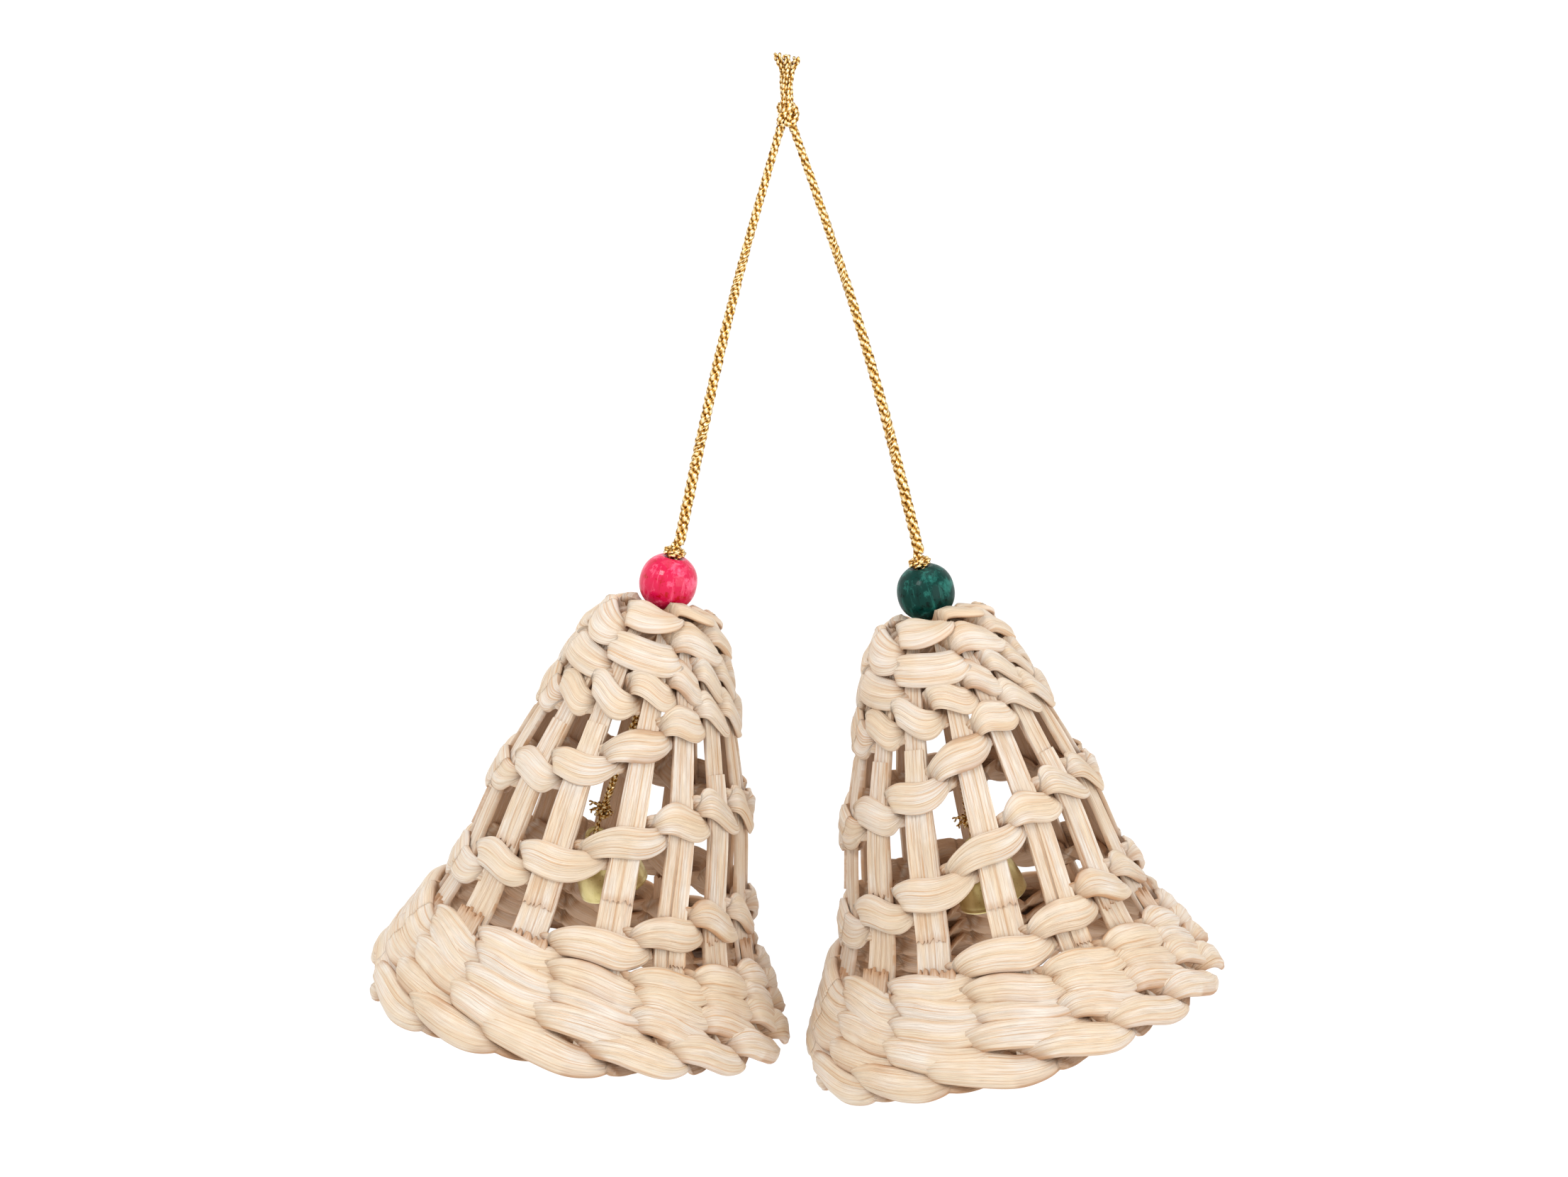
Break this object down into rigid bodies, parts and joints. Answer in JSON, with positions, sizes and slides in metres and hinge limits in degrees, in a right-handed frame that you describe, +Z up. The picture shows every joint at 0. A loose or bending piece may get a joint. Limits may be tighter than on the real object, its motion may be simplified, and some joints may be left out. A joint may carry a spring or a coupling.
{
  "type": "pair of hanging straw bells",
  "caption": "Two open twined straw bells hanging from gold cords, with a stained wooden bead on each crown and a small brass chime hanging inside each bell.",
  "frame": {"origin": "the fork where the two hanger cords leave the top knot, where the pair is hung up", "axes": "+Z up the cords, +X from the red-beaded bell to the green-beaded one, +Y from the front to the back"},
  "size_m": [0.1514, 0.0759, 0.1819],
  "materials": {
    "straw_weaver": "matt pale straw strip with fine long veins",
    "straw_stake": "matt ribbed straw, browner on the inside",
    "gold_cord": "twisted metallic thread, bright gold over dark brown",
    "red_stained_wood": "glossy red stain",
    "green_stained_wood": "glossy deep green stain with lighter streaks",
    "brass": "thin pressed yellow brass"
  },
  "bodies": {
    "hanger": {"top_knot": "gold_cord", "cord_ends": "gold_cord"},
    "left_cord": {"left_hanger_cord": "gold_cord"},
    "left_core": {"left_stopper_knot": "gold_cord", "left_core_cord": "gold_cord", "left_inner_knot": "gold_cord"},
    "left_outer_bead_body": {"left_outer_bead": "red_stained_wood"},
    "left_inner_bead_body": {"left_inner_bead": "red_stained_wood"},
    "left_bell": {"left_stakes": "straw_stake", "left_rim_weave_1": "straw_weaver", "left_rim_weave_2": "straw_weaver", "left_rim_weave_3": "straw_weaver", "left_rim_weave_4": "straw_weaver", "left_open_weave_1": "straw_weaver", "left_open_weave_2": "straw_weaver", "left_open_weave_3": "straw_weaver", "left_crown_weave_1": "straw_weaver", "left_crown_weave_2": "straw_weaver", "left_crown_weave_3": "straw_weaver"},
    "left_chime_line": {"left_inner_cord": "gold_cord", "left_chime_knot": "gold_cord"},
    "left_chime": {"left_chime_shell": "brass", "left_chime_eye": "brass"},
    "left_striker": {"left_chime_clapper": "brass"},
    "right_cord": {"right_hanger_cord": "gold_cord"},
    "right_core": {"right_stopper_knot": "gold_cord", "right_core_cord": "gold_cord", "right_inner_knot": "gold_cord"},
    "right_outer_bead_body": {"right_outer_bead": "green_stained_wood"},
    "right_inner_bead_body": {"right_inner_bead": "red_stained_wood"},
    "right_bell": {"right_stakes": "straw_stake", "right_rim_weave_1": "straw_weaver", "right_rim_weave_2": "straw_weaver", "right_rim_weave_3": "straw_weaver", "right_rim_weave_4": "straw_weaver", "right_open_weave_1": "straw_weaver", "right_open_weave_2": "straw_weaver", "right_open_weave_3": "straw_weaver", "right_crown_weave_1": "straw_weaver", "right_crown_weave_2": "straw_weaver", "right_crown_weave_3": "straw_weaver"},
    "right_chime_line": {"right_inner_cord": "gold_cord", "right_chime_knot": "gold_cord"},
    "right_chime": {"right_chime_shell": "brass", "right_chime_eye": "brass"},
    "right_striker": {"right_chime_clapper": "brass"}
  },
  "joints": [
    {"name": "left_cord_swing", "type": "hinge", "parent": "hanger", "child": "left_cord", "pos_m": [-0.0011, 0, -0.0015], "axis": [0, 1, 0], "range_deg": [0, 45]},
    {"name": "left_bell_rock", "type": "hinge", "parent": "left_cord", "child": "left_core", "pos_m": [-0.019, 0, -0.0754], "axis": [1, 0, 0], "range_deg": [-30, 30]},
    {"name": "left_outer_bead_turn", "type": "hinge", "parent": "left_core", "child": "left_outer_bead_body", "pos_m": [-0.0209, 0, -0.0822], "axis": [0.2079, 0, 0.9781], "continuous": true},
    {"name": "left_inner_bead_turn", "type": "hinge", "parent": "left_core", "child": "left_inner_bead_body", "pos_m": [-0.02387, 0, -0.09619], "axis": [0.2079, 0, 0.9781], "continuous": true},
    {"name": "left_bell_turn", "type": "hinge", "parent": "left_core", "child": "left_bell", "pos_m": [-0.02198, 0, -0.08729], "axis": [0.2079, 0, 0.9781], "continuous": true},
    {"name": "left_chime_cord_swing", "type": "hinge", "parent": "left_core", "child": "left_chime_line", "pos_m": [-0.02532, 0, -0.10299], "axis": [0, -1, 0], "range_deg": [-8, 28]},
    {"name": "left_chime_swing", "type": "hinge", "parent": "left_chime_line", "child": "left_chime", "pos_m": [-0.0341, -0.0021, -0.1274], "axis": [-0.0631, 0.9795, 0.1912], "range_deg": [-20, 55]},
    {"name": "left_clapper_swing", "type": "hinge", "parent": "left_chime", "child": "left_striker", "pos_m": [-0.0327, -0.00118, -0.13163], "axis": [-0.0631, 0.9795, 0.1912], "range_deg": [-30, 30]},
    {"name": "right_cord_swing", "type": "hinge", "parent": "hanger", "child": "right_cord", "pos_m": [0.0011, 0, -0.0015], "axis": [0, -1, 0], "range_deg": [0, 45]},
    {"name": "right_bell_rock", "type": "hinge", "parent": "right_cord", "child": "right_core", "pos_m": [0.0233, 0, -0.0769], "axis": [1, 0, 0], "range_deg": [-30, 30]},
    {"name": "right_outer_bead_turn", "type": "hinge", "parent": "right_core", "child": "right_outer_bead_body", "pos_m": [0.0245, 0, -0.084], "axis": [-0.2079, 0, 0.9781], "continuous": true},
    {"name": "right_inner_bead_turn", "type": "hinge", "parent": "right_core", "child": "right_inner_bead_body", "pos_m": [0.02747, 0, -0.09799], "axis": [-0.2079, 0, 0.9781], "continuous": true},
    {"name": "right_bell_turn", "type": "hinge", "parent": "right_core", "child": "right_bell", "pos_m": [0.02558, 0, -0.08909], "axis": [-0.2079, 0, 0.9781], "continuous": true},
    {"name": "right_chime_cord_swing", "type": "hinge", "parent": "right_core", "child": "right_chime_line", "pos_m": [0.02892, 0, -0.10479], "axis": [0, 1, 0], "range_deg": [-20, 20]},
    {"name": "right_chime_swing", "type": "hinge", "parent": "right_chime_line", "child": "right_chime", "pos_m": [0.0331, -0.0016, -0.1295], "axis": [-0.0532, 0.9883, 0.1433], "range_deg": [-20, 55]},
    {"name": "right_clapper_swing", "type": "hinge", "parent": "right_chime", "child": "right_striker", "pos_m": [0.03467, -0.0009, -0.13372], "axis": [-0.0532, 0.9883, 0.1433], "range_deg": [-30, 30]}
  ]
}
